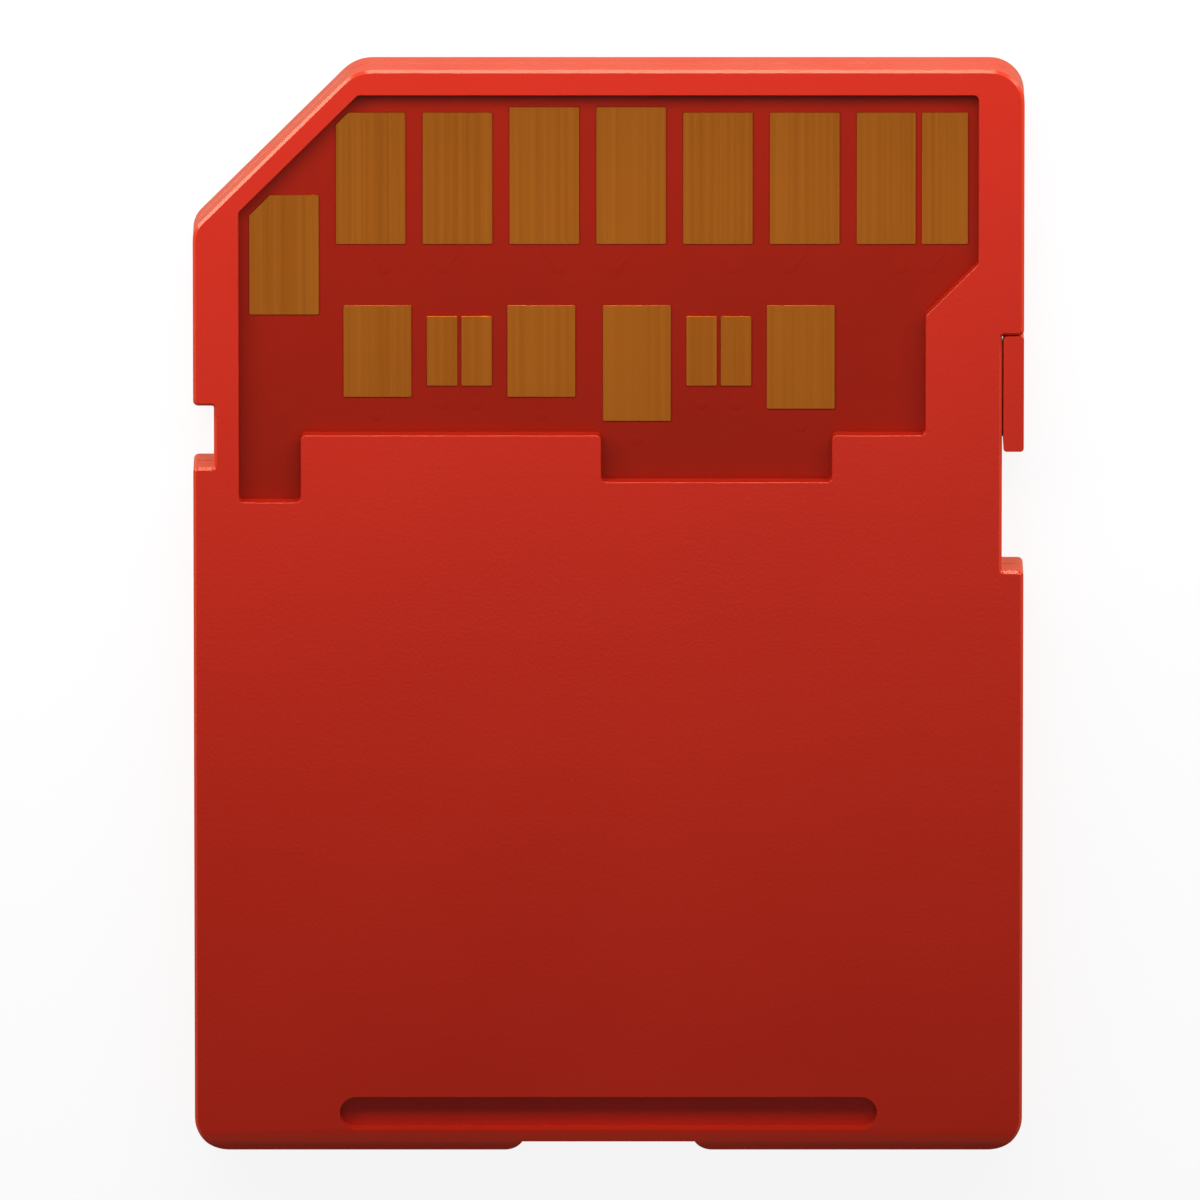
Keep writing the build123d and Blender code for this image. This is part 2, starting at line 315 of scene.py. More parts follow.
@dataclass(frozen=True)
class Finish:
    """A surface: its colour, the colour that it varies toward, its gloss and its texture."""

    name: str
    colour: Colour
    varied: Colour
    roughness: Range
    specular: float
    relief_mm: float

    def material(self, effects: EffectLibrary) -> bpy.types.Material:
        """Make the material.

        Args:
            effects: The shared effects.

        Returns:
            A material that reads Object coordinates.
        """
        material = bpy.data.materials.new(self.name)
        material.use_nodes = True
        graph = NodeGraph(material.node_tree)
        graph.tree.nodes.clear()
        shader = graph.add("ShaderNodeBsdfPrincipled", {"Specular IOR Level": self.specular})
        graph.add("ShaderNodeOutputMaterial", {"Surface": shader.outputs[0]})
        coordinates = graph.add("ShaderNodeTexCoord").outputs["Object"]
        self.dress(graph, shader, graph.stretch(coordinates, (1 / MM, 1 / MM, 1 / MM)), effects)
        return material

    def dress(
        self, graph: NodeGraph, shader: bpy.types.Node, vector: bpy.types.NodeSocket, effects: EffectLibrary
    ) -> None:
        """Feed the shader.

        Args:
            graph: The material's graph.
            shader: Its shader.
            vector: Object coordinates in millimetres.
            effects: The shared effects.
        """
        grain = effects.place(graph, Effect.MOULD_GRAIN, {"Vector": vector})
        film = effects.place(graph, Effect.HANDLING_FILM, {"Vector": vector})
        colour = graph.mix(grain.outputs["Flow"], self.colour, self.varied)
        self.connect(graph, shader, colour, film.outputs["Film"], grain.outputs["Height"])

    def connect(
        self, graph: NodeGraph, shader: bpy.types.Node, colour: Any, gloss: Any, height: Any
    ) -> None:
        """Link a colour, a mask of gloss and a height to the shader.

        Args:
            graph: The material's graph.
            shader: Its shader.
            colour: The surface's colour.
            gloss: A mask from the lower roughness to the higher.
            height: The relief, from 0 to 1.
        """
        links = graph.tree.links
        links.new(colour, shader.inputs["Base Color"])
        links.new(graph.spread(gloss, 0.0, 1.0, *self.roughness), shader.inputs["Roughness"])
        relief = {"Strength": 1.0, "Distance": self.relief_mm * MM, "Height": height}
        links.new(graph.add("ShaderNodeBump", relief).outputs[0], shader.inputs["Normal"])


@dataclass(frozen=True)
class MouldedPlastic(Finish):
    """Satin moulded plastic, paler along its edges: partly rubbed by handling, partly a painted highlight.
    """

    # Paler edge colour and its share: partly rubbed by handling, partly a painted highlight.
    worn_and_highlight: Colour
    wear_and_highlight_share: float
    grain_per_mm: float
    edge_mm: float
    film_per_mm: float = 0.35
    least_film: float = 0.5

    def dress(
        self, graph: NodeGraph, shader: bpy.types.Node, vector: bpy.types.NodeSocket, effects: EffectLibrary
    ) -> None:
        """Feed the shader with grain, flow, film and paler edges, partly rubbed and partly a painted
        highlight.

        Args:
            graph: The material's graph.
            shader: Its shader.
            vector: Object coordinates in millimetres.
            effects: The shared effects.
        """
        grain = effects.place(graph, Effect.MOULD_GRAIN, {"Vector": vector, "Grain": self.grain_per_mm})
        film = effects.place(graph, Effect.HANDLING_FILM, {"Vector": vector, "Scale": self.film_per_mm})
        edge = effects.place(graph, Effect.EDGE_WEAR_AND_HIGHLIGHT, {"Vector": vector, "Radius": self.edge_mm * MM})
        colour = graph.mix(grain.outputs["Flow"], self.colour, self.varied)
        # The outer cut edges get a painted highlight line and more gloss; other edges are paler, partly
        # rubbed, partly painted highlight.
        cut = graph.add("ShaderNodeAttribute", attribute_name=CUT_EDGE_HIGHLIGHT).outputs["Fac"]
        worn_and_highlight = graph.math("MULTIPLY", graph.math("MAXIMUM", edge.outputs["Mask"], cut), self.wear_and_highlight_share)
        colour = graph.mix(worn_and_highlight, colour, self.worn_and_highlight)
        satin = graph.spread(film.outputs["Film"], 0.0, 1.0, to_low=self.least_film)
        uncut = graph.math("SUBTRACT", 1.0, cut)
        rubbed = graph.math("MAXIMUM", graph.math("MULTIPLY", satin, uncut), film.outputs["Scratch"])
        self.connect(graph, shader, colour, rubbed, graph.math("MULTIPLY", grain.outputs["Height"], uncut))


@dataclass(frozen=True)
class SolderMask(Finish):
    """Cured mask over copper and glass cloth, whose weave shows faintly."""

    weave_per_mm: float
    weave_bend: float = 0.6
    weave_share: float = 0.5
    peel_per_mm: float = 5.0
    patch_per_mm: float = 0.35
    film_per_mm: float = 0.5

    def dress(
        self, graph: NodeGraph, shader: bpy.types.Node, vector: bpy.types.NodeSocket, effects: EffectLibrary
    ) -> None:
        """Feed the shader with weave, orange peel and film.

        Args:
            graph: The material's graph.
            shader: Its shader.
            vector: Object coordinates in millimetres.
            effects: The shared effects.
        """
        peel = {"Vector": vector, "Grain": self.peel_per_mm, "Flow": self.patch_per_mm}
        grain = effects.place(graph, Effect.MOULD_GRAIN, peel)
        film = effects.place(graph, Effect.HANDLING_FILM, {"Vector": vector, "Scale": self.film_per_mm})
        cloth = {
            "Vector": vector,
            "Scale": self.weave_per_mm / math.tau,
            "Distortion": self.weave_bend,
            "Detail": 1.0,
        }
        threads = [
            graph.add("ShaderNodeTexWave", cloth, bands_direction=direction).outputs["Fac"]
            for direction in ("X", "Y")
        ]
        weave = graph.math("MULTIPLY", threads[0], threads[1])
        weave = graph.math("MULTIPLY", weave, self.weave_share)
        height = graph.math("ADD", weave, grain.outputs["Height"])
        colour = graph.mix(grain.outputs["Flow"], self.colour, self.varied)
        self.connect(graph, shader, colour, film.outputs["Film"], height)


@dataclass(frozen=True)
class GoldPlate(Finish):
    """Hard gold plating, brushed along the card by being pushed into sockets."""

    rubbed_rim_and_highlight: Colour
    film_per_mm: float = 1.1
    edge_mm: float = 0.03
    breaks_per_mm: float = 2.5
    band_stretch: Point = (1.3, 0.02, 1.0)
    band_range: Range = (0.38, 0.62)
    band_share: float = 0.45
    rub_share: float = 0.20
    line_stretch: Point = (38.0, 0.12, 38.0)

    def dress(
        self, graph: NodeGraph, shader: bpy.types.Node, vector: bpy.types.NodeSocket, effects: EffectLibrary
    ) -> None:
        """Feed the shader with brushed lines, dull patches and rims painted brighter, partly rubbed and
        partly a painted highlight.

        Args:
            graph: The material's graph.
            shader: Its shader.
            vector: Object coordinates in millimetres.
            effects: The shared effects.
        """
        shader.inputs["Metallic"].default_value = 1.0
        film = effects.place(graph, Effect.HANDLING_FILM, {"Vector": vector, "Scale": self.film_per_mm})
        rim = {"Vector": vector, "Radius": self.edge_mm * MM, "Breakup": self.breaks_per_mm}
        edge = effects.place(graph, Effect.EDGE_WEAR_AND_HIGHLIGHT, rim)
        bands = graph.noise(graph.stretch(vector, self.band_stretch), 1.0, detail=1.0)
        lines = graph.noise(graph.stretch(vector, self.line_stretch), 1.0)
        tone = graph.math("MULTIPLY_ADD", film.outputs["Rub"], self.rub_share)
        band = graph.spread(bands, *self.band_range, to_high=self.band_share)
        graph.tree.links.new(band, tone.node.inputs[2])
        colour = graph.mix(tone, self.colour, self.varied)
        # Rims painted brighter: partly rubbed gold, partly a painted highlight.
        colour = graph.mix(edge.outputs["Mask"], colour, self.rubbed_rim_and_highlight)
        self.connect(graph, shader, colour, film.outputs["Rub"], lines)


class FinishLibrary:
    """The card's finishes, each made into a material once."""

    def __init__(self) -> None:
        """Set every finish by its slot."""
        self.effects = EffectLibrary()
        red = {
            "colour": (0.56, 0.0185, 0.0055, 1.0),
            "varied": (0.59, 0.0205, 0.0062, 1.0),
            "roughness": (0.21, 0.36),
            "specular": 0.34,
            # Paler edge colour: partly rubbed by handling, partly a painted highlight.
            "worn_and_highlight": (0.74, 0.075, 0.035, 1.0),
            "wear_and_highlight_share": 0.4,
            "grain_per_mm": 13.0,
            "edge_mm": 0.05,
        }
        self.finishes: dict[Slot, Finish] = {
            Slot.SHELL: MouldedPlastic(name="red_moulded_shell", relief_mm=0.0058, **red),
            Slot.SLIDER: MouldedPlastic(name="red_moulded_tab", relief_mm=0.0048, **red),
            Slot.BOARD: SolderMask(
                name="dark_red_solder_mask",
                colour=(0.315, 0.0105, 0.0025, 1.0),
                varied=(0.295, 0.0100, 0.0022, 1.0),
                roughness=(0.34, 0.44),
                specular=0.18,
                relief_mm=0.0040,
                weave_per_mm=2.2,
            ),
            Slot.CONTACT: GoldPlate(
                name="brushed_gold_plating",
                colour=(0.92, 0.285, 0.032, 1.0),
                varied=(0.84, 0.245, 0.026, 1.0),
                roughness=(0.36, 0.42),
                specular=0.5,
                relief_mm=0.0020,
                rubbed_rim_and_highlight=(1.0, 0.46, 0.09, 1.0),
            ),
            Slot.PACKAGE: Finish(
                name="black_moulding_compound",
                colour=(0.020, 0.020, 0.022, 1.0),
                varied=(0.030, 0.030, 0.032, 1.0),
                roughness=(0.50, 0.66),
                specular=0.4,
                relief_mm=0.004,
            ),
            Slot.CAPACITOR: Finish(
                name="tan_ceramic",
                colour=(0.36, 0.25, 0.15, 1.0),
                varied=(0.29, 0.19, 0.11, 1.0),
                roughness=(0.45, 0.6),
                specular=0.4,
                relief_mm=0.002,
            ),
            Slot.RESISTOR: Finish(
                name="dark_ceramic",
                colour=(0.04, 0.04, 0.045, 1.0),
                varied=(0.06, 0.06, 0.062, 1.0),
                roughness=(0.4, 0.6),
                specular=0.4,
                relief_mm=0.002,
            ),
        }
        self.materials: dict[Slot, bpy.types.Material] = {}

    def get(self, slot: Slot) -> bpy.types.Material:
        """Return a slot's material, made at its first use."""
        if slot not in self.materials:
            self.materials[slot] = self.finishes[slot].material(self.effects)
        return self.materials[slot]


def box_mm(node: str) -> tuple[Vector, Vector]:
    """Return the lowest and highest corners of a solid, in millimetres."""
    low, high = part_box(node)
    return low / MM, high / MM


def new_object(name: str, mesh: bpy.types.Mesh) -> bpy.types.Object:
    """Put a mesh in the scene as an object at the origin."""
    piece = bpy.data.objects.new(name, mesh)
    bpy.context.scene.collection.objects.link(piece)
    return piece


def settle(piece: bpy.types.Object) -> None:
    """Turn a piece's modifiers into a plain mesh.

    Args:
        piece: The piece, which keeps its name and place.
    """
    graph = bpy.context.evaluated_depsgraph_get()
    mesh = bpy.data.meshes.new_from_object(piece.evaluated_get(graph), depsgraph=graph)
    piece.modifiers.clear()
    drawn = piece.data
    piece.data = mesh
    bpy.data.meshes.remove(drawn)
    mesh.name = piece.name


def start_tree(name: str, lengths: tuple[str, ...], count: str) -> tuple[NodeGraph, Any, bpy.types.Node]:
    """Start a geometry tree that takes a shape, some lengths, a count and a material.

    Args:
        name: The tree's name.
        lengths: Names of the lengths, which are in millimetres.
        count: The count's name.

    Returns:
        The tree's graph, what it is given, and its output node.
    """
    tree = bpy.data.node_groups.new(name, "GeometryNodeTree")
    kinds = {"Geometry": "NodeSocketGeometry"}
    kinds.update({length: "NodeSocketFloat" for length in lengths})
    kinds.update({count: "NodeSocketInt", "Material": "NodeSocketMaterial"})
    for socket, kind in kinds.items():
        tree.interface.new_socket(socket, in_out="INPUT", socket_type=kind)
    tree.interface.new_socket("Geometry", in_out="OUTPUT", socket_type="NodeSocketGeometry")
    graph = NodeGraph(tree)
    return graph, graph.add("NodeGroupInput").outputs, graph.add("NodeGroupOutput")


def end_tree(graph: NodeGraph, shape: Any, material: Any, made: bpy.types.Node) -> bpy.types.NodeTree:
    """Scale a shape to metres, make it real, dress it and put it out.

    Args:
        graph: The tree's graph.
        shape: What the tree has made, in millimetres.
        material: The material that it is given.
        made: Its output node.

    Returns:
        The finished tree.
    """
    scaled = graph.add("GeometryNodeTransform", {0: shape, "Scale": (MM, MM, MM)})
    real = graph.add("GeometryNodeRealizeInstances", {0: scaled.outputs[0]})
    dressed = graph.add("GeometryNodeSetMaterial", {0: real.outputs[0], "Material": material})
    graph.tree.links.new(dressed.outputs[0], made.inputs[0])
    return graph.tree


def run_tree(piece: bpy.types.Object, tree: bpy.types.NodeTree, inputs: dict[str, Any]) -> None:
    """Run a geometry tree on a piece and keep what it makes.

    Args:
        piece: The piece, which holds the shape that the tree takes.
        tree: The tree.
        inputs: A value for each of its named inputs.
    """
    names = {item.name: item.identifier for item in tree.interface.items_tree if item.in_out == "INPUT"}
    modifier = piece.modifiers.new(tree.name, "NODES")
    modifier.node_group = tree
    for name, value in inputs.items():
        modifier[names[name]] = value
    settle(piece)


def smooth_by_area(piece: bpy.types.Object, angle_deg: float) -> None:
    """Shade a piece smooth up to an angle, with its flat faces kept flat.

    Args:
        piece: The piece.
        angle_deg: Edges that turn by more than this stay sharp.
    """
    piece.data.shade_smooth()
    piece.data.set_sharp_from_angle(angle=math.radians(angle_deg))
    weighted = piece.modifiers.new("weighted", "WEIGHTED_NORMAL")
    weighted.mode = "FACE_AREA"
    weighted.weight = AREA_WEIGHT
    weighted.keep_sharp = True
    settle(piece)


def hand_over(piece: bpy.types.Object, body: Body, slot: Slot, *nodes: str) -> None:
    """Set a finished piece on its body.

    Args:
        piece: The piece.
        body: The body that it moves with.
        slot: Not used.
        nodes: Solids that it stands for.
    """
    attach(piece, body.value)
    if nodes:
        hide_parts(*nodes)
    LOG.info("%s: %d faces, on %s", piece.name, len(piece.data.polygons), body.value)


@dataclass
class CaseMouldings:
    """The two welded halves of the case and the tab that slides in its edge."""

    finishes: FinishLibrary
    merge_mm: float = 0.0005
    sliver_mm: float = 0.00005
    smooth_deg: float = 22.0
    cut_reach_mm: float = 0.15
    cut_least_mm: float = 0.05
    cut_slope: float = math.sqrt(0.5)
    slope_tolerance: float = 0.01

    def mark_cut_edges(self, joined: bmesh.types.BMesh, faces: Range) -> None:
        """Mark the cut edges round the card's two faces, which get more gloss and a painted highlight line.

        Args:
            joined: The mesh to mark.
            faces: The heights of the card's faces, in metres.
        """
        layer = joined.faces.layers.float.new(CUT_EDGE_HIGHLIGHT)
        for face in joined.faces:
            heights = [vertex.co.z for vertex in face.verts]
            reach = min(abs(height - level) for level in faces for height in heights)
            sloped = abs(abs(face.normal.z) - self.cut_slope) < self.slope_tolerance
            broad = max(heights) - min(heights) > self.cut_least_mm * MM
            face[layer] = 1.0 if sloped and broad and reach < self.cut_reach_mm * MM else 0.0

    def copy_of(self, node: str, name: str) -> bpy.types.Object:
        """Copy a solid with its loose triangles joined and its cut edges marked.

        Args:
            node: The solid.
            name: The new piece's name.

        Returns:
            The new piece.
        """
        source = frame["nodes"][node].data
        joined = bmesh.new()
        corners = [joined.verts.new(vertex.co) for vertex in source.vertices]
        for polygon in source.polygons:
            joined.faces.new([corners[index] for index in polygon.vertices])
        bmesh.ops.remove_doubles(joined, verts=joined.verts, dist=self.merge_mm * MM)
        bmesh.ops.dissolve_degenerate(joined, edges=joined.edges, dist=self.sliver_mm * MM)
        joined.normal_update()
        self.mark_cut_edges(joined, (box_mm("front_shell")[0].z * MM, box_mm("back_shell")[1].z * MM))
        mesh = bpy.data.meshes.new(name)
        joined.to_mesh(mesh)
        joined.free()
        return new_object(name, mesh)

    def build(self) -> None:
        """Build and dress the halves and the tab."""
        plan = [
            ("back_shell", "contact_side_shell", Body.CARD, Slot.SHELL),
            ("front_shell", "label_side_shell", Body.CARD, Slot.SHELL),
            ("write_protect_slider", "write_protect_tab", Body.SLIDER, Slot.SLIDER),
        ]
        for node, name, body, slot in plan:
            piece = self.copy_of(node, name)
            piece.data.materials.append(self.finishes.get(slot))
            smooth_by_area(piece, self.smooth_deg)
            hand_over(piece, body, slot, node)


@dataclass
class GoldContacts:
    """The seventeen contacts, each a plated pad with round corners and a rolled rim."""

    finishes: FinishLibrary
    corner_mm: float = 0.04
    corner_steps: int = 4
    rim_mm: float = 0.016
    rim_steps: int = 3
    merge_mm: float = 0.0005
    floor_mm: float = 0.001
    least_cut_mm: float = 0.01
    smooth_deg: float = 40.0
    count: int = 17

    def plate_tree(self) -> bpy.types.NodeTree:
        """Build the tree that turns a flat outline into a plated pad.

        Returns:
            A tree that takes the outline and puts out the pad.
        """
        lengths = ("Corner Round", "Thickness", "Rim", "Base")
        graph, given, made = start_tree("plated_pad", lengths, "Corner Steps")

        outline = graph.add("GeometryNodeMeshToCurve", {"Mesh": given["Geometry"]})
        rounded = graph.add(
            "GeometryNodeFilletCurve",
            {
                "Curve": outline.outputs[0],
                "Radius": given["Corner Round"],
                "Count": given["Corner Steps"],
                "Limit Radius": True,
            },
            mode="POLY",
        )
        flat = graph.add("GeometryNodeFillCurve", {"Curve": rounded.outputs[0]}, mode="NGONS").outputs[0]
        reach = graph.add("GeometryNodeBoundBox", {0: flat})
        size = self.vector_math(graph, "SUBTRACT", reach.outputs["Max"], reach.outputs["Min"])
        double = self.vector_math(graph, "ADD", reach.outputs["Max"], reach.outputs["Min"])
        middle = self.vector_math(graph, "MULTIPLY", double, (0.5, 0.5, 0.5))

        wall = graph.math("SUBTRACT", given["Thickness"], given["Rim"])
        pad, top = self.raise_face(graph, flat, None, wall)
        inset: Any = 0.0
        rise: Any = 0.0
        for step in range(1, self.rim_steps + 1):
            angle = step / self.rim_steps * math.pi / 2
            next_rise = graph.math("MULTIPLY", given["Rim"], math.sin(angle))
            next_inset = graph.math("MULTIPLY", given["Rim"], 1.0 - math.cos(angle))
            pad, top = self.raise_face(graph, pad, top, graph.math("SUBTRACT", next_rise, rise))
            for axis in range(2):
                pad = self.shrink_face(graph, pad, top, middle, size, axis, inset, next_inset)
            inset = next_inset
            rise = next_rise

        under = graph.add("GeometryNodeFlipFaces", {"Mesh": flat})
        whole = graph.add("GeometryNodeJoinGeometry", {0: pad})
        graph.tree.links.new(under.outputs[0], whole.inputs[0])
        merge = {0: whole.outputs[0], "Distance": self.merge_mm}
        closed = graph.add("GeometryNodeMergeByDistance", merge)
        lift = graph.add("ShaderNodeCombineXYZ", {"Z": given["Base"]})
        raised = {0: closed.outputs[0], "Translation": lift.outputs[0]}
        lifted = graph.add("GeometryNodeTransform", raised)
        return end_tree(graph, lifted.outputs[0], given["Material"], made)

    @staticmethod
    def vector_math(graph: NodeGraph, operation: str, first: Any, second: Any) -> bpy.types.NodeSocket:
        """Combine two vectors and return the result."""
        return graph.add("ShaderNodeVectorMath", {0: first, 1: second}, operation=operation).outputs[0]

    @staticmethod
    def raise_face(graph: NodeGraph, mesh: Any, top: Any, rise: Any) -> tuple[Any, Any]:
        """Raise a face and draw walls under it.

        Args:
            graph: The tree's graph.
            mesh: The pad so far.
            top: The face to raise, or None for every face.
            rise: How far.

        Returns:
            The pad, and its new top face.
        """
        inputs: dict[str | int, Any] = {
            "Mesh": mesh,
            "Offset": (0.0, 0.0, 1.0),
            "Offset Scale": rise,
            "Individual": False,
        }
        if top is not None:
            inputs["Selection"] = top
        node = graph.add("GeometryNodeExtrudeMesh", inputs, mode="FACES")
        return node.outputs["Mesh"], node.outputs["Top"]

    @staticmethod
    def shrink_face(
        graph: NodeGraph,
        mesh: Any,
        top: Any,
        middle: Any,
        size: Any,
        axis: int,
        inset: Any,
        next_inset: Any,
    ) -> Any:
        """Draw a face in along one axis.

        Args:
            graph: The tree's graph.
            mesh: The pad so far.
            top: The face to draw in.
            middle: The outline's middle.
            size: The outline's size.
            axis: 0 for across, 1 for along.
            inset: How far the face is in already.
            next_inset: How far in it goes.

        Returns:
            The pad.
        """
        span = graph.add("ShaderNodeSeparateXYZ", {0: size}).outputs[axis]
        widths = []
        for amount in (next_inset, inset):
            widths.append(graph.math("SUBTRACT", span, graph.math("MULTIPLY", amount, 2.0)))
        inputs = {
            "Geometry": mesh,
            "Selection": top,
            "Scale": graph.math("DIVIDE", widths[0], widths[1]),
            "Center": middle,
            "Axis": (1.0, 0.0, 0.0) if axis == 0 else (0.0, 1.0, 0.0),
        }
        settings = {"domain": "FACE", "scale_mode": "SINGLE_AXIS"}
        return graph.add("GeometryNodeScaleElements", inputs, **settings).outputs[0]

    def outline(self, node: str) -> list[Point]:
        """Find a contact's outline, with its corner cut where the solid's is.

        Args:
            node: The contact's solid.

        Returns:
            The outline's corners, in millimetres, from the lower left and anticlockwise.
        """
        low, high = box_mm(node)
        floor = low.z + self.floor_mm
        corners = [vertex.co / MM for vertex in frame["nodes"][node].data.vertices]
        cut = min(co.x - low.x + high.y - co.y for co in corners if co.z < floor)
        points = [(low.x, low.y), (high.x, low.y), (high.x, high.y)]
        if cut > self.least_cut_mm:
            points += [(low.x + cut, high.y), (low.x, high.y - cut)]
        else:
            points.append((low.x, high.y))
        return [(x, y, 0.0) for x, y in points]

    def build(self) -> None:
        """Build and dress every contact."""
        tree = self.plate_tree()
        for number in range(1, self.count + 1):
            node = f"contact_{number}"
            low, high = box_mm(node)
            points = self.outline(node)
            mesh = bpy.data.meshes.new(node)
            mesh.from_pydata(points, [], [range(len(points))])
            piece = new_object(f"gold_{node}", mesh)
            inputs = {
                "Corner Round": self.corner_mm,
                "Corner Steps": self.corner_steps,
                "Thickness": high.z - low.z,
                "Rim": self.rim_mm,
                "Base": low.z,
                "Material": self.finishes.get(Slot.CONTACT),
            }
            run_tree(piece, tree, inputs)
            smooth_by_area(piece, self.smooth_deg)
            hand_over(piece, Body.CARD, Slot.CONTACT, node)


@dataclass
class BoardDressing:
    """The mask on the board, over the tracks that leave the contacts and the vias they end in."""

    finishes: FinishLibrary
    track_mm: float = 0.15
    track_height_mm: float = 0.004
    track_sides: int = 12
    bend_mm: float = 0.25
    bend_steps: int = 4
    via_mm: float = 0.18
    via_height_mm: float = 0.005
    via_sides: int = 20
    via_taper: float = 0.82
    dimple_depth: float = 0.45
    dimple_width: float = 0.45
    first_leg_mm: float = 0.3
    first_run_mm: float = 0.72
    first_side_mm: float = 0.42
    second_run_mm: float = 0.55
    smooth_deg: float = 40.0
    first_row: tuple[int, ...] = (1, 2, 3, 4, 5, 6, 7, 8)
    second_row: tuple[int, ...] = (10, 11, 12, 13, 14, 15, 16, 17)

    def track_tree(self) -> bpy.types.NodeTree:
        """Build the tree that lays crowned tracks along their routes, with a via at each far end.

        Returns:
            A tree that takes routes as edges and puts out the mask's relief.
        """
        lengths = ("Track Width", "Track Height", "Bend Round", "Via Radius", "Via Height")
        graph, given, made = start_tree("masked_tracks", lengths, "Via Sides")

        routes = graph.add("GeometryNodeMeshToCurve", {"Mesh": given["Geometry"]})
        bent = graph.add(
            "GeometryNodeFilletCurve",
            {
                "Curve": routes.outputs[0],
                "Radius": given["Bend Round"],
                "Count": self.bend_steps,
                "Limit Radius": True,
            },
            mode="POLY",
        )
        level = graph.add("GeometryNodeSetCurveNormal", {0: bent.outputs[0]}, mode="Z_UP")
        unit = {"Resolution": self.track_sides, "Radius": 1.0}
        ring = graph.add("GeometryNodeCurvePrimitiveCircle", unit, mode="RADIUS")
        half = graph.math("MULTIPLY", given["Track Width"], 0.5)
        section = graph.add("ShaderNodeCombineXYZ", {"X": half, "Y": given["Track Height"], "Z": 1.0})
        profile = graph.add("GeometryNodeTransform", {0: ring.outputs[0], "Scale": section.outputs[0]})
        tracks = graph.add(
            "GeometryNodeCurveToMesh",
            {"Curve": level.outputs[0], "Profile Curve": profile.outputs[0], "Fill Caps": True},
        )

        drum = graph.add(
            "GeometryNodeMeshCone",
            {
                "Vertices": given["Via Sides"],
                "Radius Top": graph.math("MULTIPLY", given["Via Radius"], self.via_taper),
                "Radius Bottom": given["Via Radius"],
                "Depth": given["Via Height"],
            },
        )
        dimple = graph.add(
            "GeometryNodeExtrudeMesh",
            {
                "Mesh": drum.outputs["Mesh"],
                "Selection": drum.outputs["Top"],
                "Offset": (0.0, 0.0, -1.0),
                "Offset Scale": graph.math("MULTIPLY", given["Via Height"], self.dimple_depth),
            },
            mode="FACES",
        )
        cup = graph.add(
            "GeometryNodeScaleElements",
            {
                "Geometry": dimple.outputs["Mesh"],
                "Selection": dimple.outputs["Top"],
                "Scale": self.dimple_width,
            },
            domain="FACE",
        )
        ends = graph.add("GeometryNodeCurveEndpointSelection", {"Start Size": 0, "End Size": 1})
        vias = graph.add(
            "GeometryNodeInstanceOnPoints",
            {"Points": routes.outputs[0], "Selection": ends.outputs[0], "Instance": cup.outputs[0]},
        )
        both = graph.add("GeometryNodeJoinGeometry", {0: tracks.outputs[0]})
        graph.tree.links.new(vias.outputs[0], both.inputs[0])
        return end_tree(graph, both.outputs[0], given["Material"], made)

    def routes(self) -> list[list[Point]]:
        """Plan a short track from each contact to its via.

        Returns:
            Each track's corners, in millimetres, on the board's face.
        """
        top = box_mm("circuit_board")[1].z
        planned = []
        for number in self.first_row:
            low, high = box_mm(f"contact_{number}")
            x = (low.x + high.x) / 2
            side = self.first_side_mm if number % 2 else -self.first_side_mm
            leg = (x, low.y - self.first_leg_mm, top)
            planned.append([(x, low.y, top), leg, (x + side, low.y - self.first_run_mm, top)])
        for number in self.second_row:
            low, high = box_mm(f"contact_{number}")
            x = (low.x + high.x) / 2
            planned.append([(x, low.y, top), (x, low.y - self.second_run_mm, top)])
        return planned

    def build(self) -> None:
        """Dress the board and lay the tracks on it."""
        material = self.finishes.get(Slot.BOARD)
        board = frame["nodes"]["circuit_board"]
        board.data.materials.clear()
        board.data.materials.append(material)
        points: list[Point] = []
        edges: list[tuple[int, int]] = []
        for route in self.routes():
            start = len(points)
            points += route
            edges += [(start + step, start + step + 1) for step in range(len(route) - 1)]
        mesh = bpy.data.meshes.new("masked_tracks")
        mesh.from_pydata(points, edges, [])
        piece = new_object("masked_tracks", mesh)
        inputs = {
            "Track Width": self.track_mm,
            "Track Height": self.track_height_mm,
            "Bend Round": self.bend_mm,
            "Via Radius": self.via_mm,
            "Via Height": self.via_height_mm,
            "Via Sides": self.via_sides,
            "Material": material,
        }
        run_tree(piece, self.track_tree(), inputs)
        smooth_by_area(piece, self.smooth_deg)
        hand_over(piece, Body.CARD, Slot.BOARD)


@dataclass
class BoardPackages:
    """The chips and passives under the board, which keep their solids."""

    finishes: FinishLibrary
    passives: int = 4

    def build(self) -> None:
        """Dress the solids."""
        plan = {"memory_chip": Slot.PACKAGE, "controller_chip": Slot.PACKAGE}
        for number in range(1, self.passives + 1):
            plan[f"capacitor_{number}"] = Slot.CAPACITOR
            plan[f"resistor_{number}"] = Slot.RESISTOR
        for node, slot in plan.items():
            solid = frame["nodes"][node]
            solid.data.materials.clear()
            solid.data.materials.append(self.finishes.get(slot))
            LOG.info("%s: dressed as %s", node, slot.value)


@dataclass(frozen=True)
class Softbox:
    """A rectangular studio light, which may be kept out of glossy reflections or of matt light."""

    name: str
    place_mm: Point
    target_mm: Point
    size_mm: Range
    watts: float
    colour: Point = (1.0, 1.0, 1.0)
    in_gloss: bool = True
    in_matt: bool = True

    def build(self) -> None:
        """Hang the light."""
        lamp = bpy.data.lights.new(self.name, "AREA")
        lamp.shape = "RECTANGLE"
        lamp.size = self.size_mm[0] * MM
        lamp.size_y = self.size_mm[1] * MM
        lamp.energy = self.watts
        lamp.color = self.colour
        holder = bpy.data.objects.new(self.name, lamp)
        bpy.context.scene.collection.objects.link(holder)
        place = Vector(self.place_mm) * MM
        toward = Vector(self.target_mm) * MM - place
        holder.location = place
        holder.rotation_euler = toward.to_track_quat("-Z", "Y").to_euler()
        holder.visible_camera = False
        holder.visible_glossy = self.in_gloss
        holder.visible_diffuse = self.in_matt
        LOG.info("%s: %.3f W", self.name, self.watts)


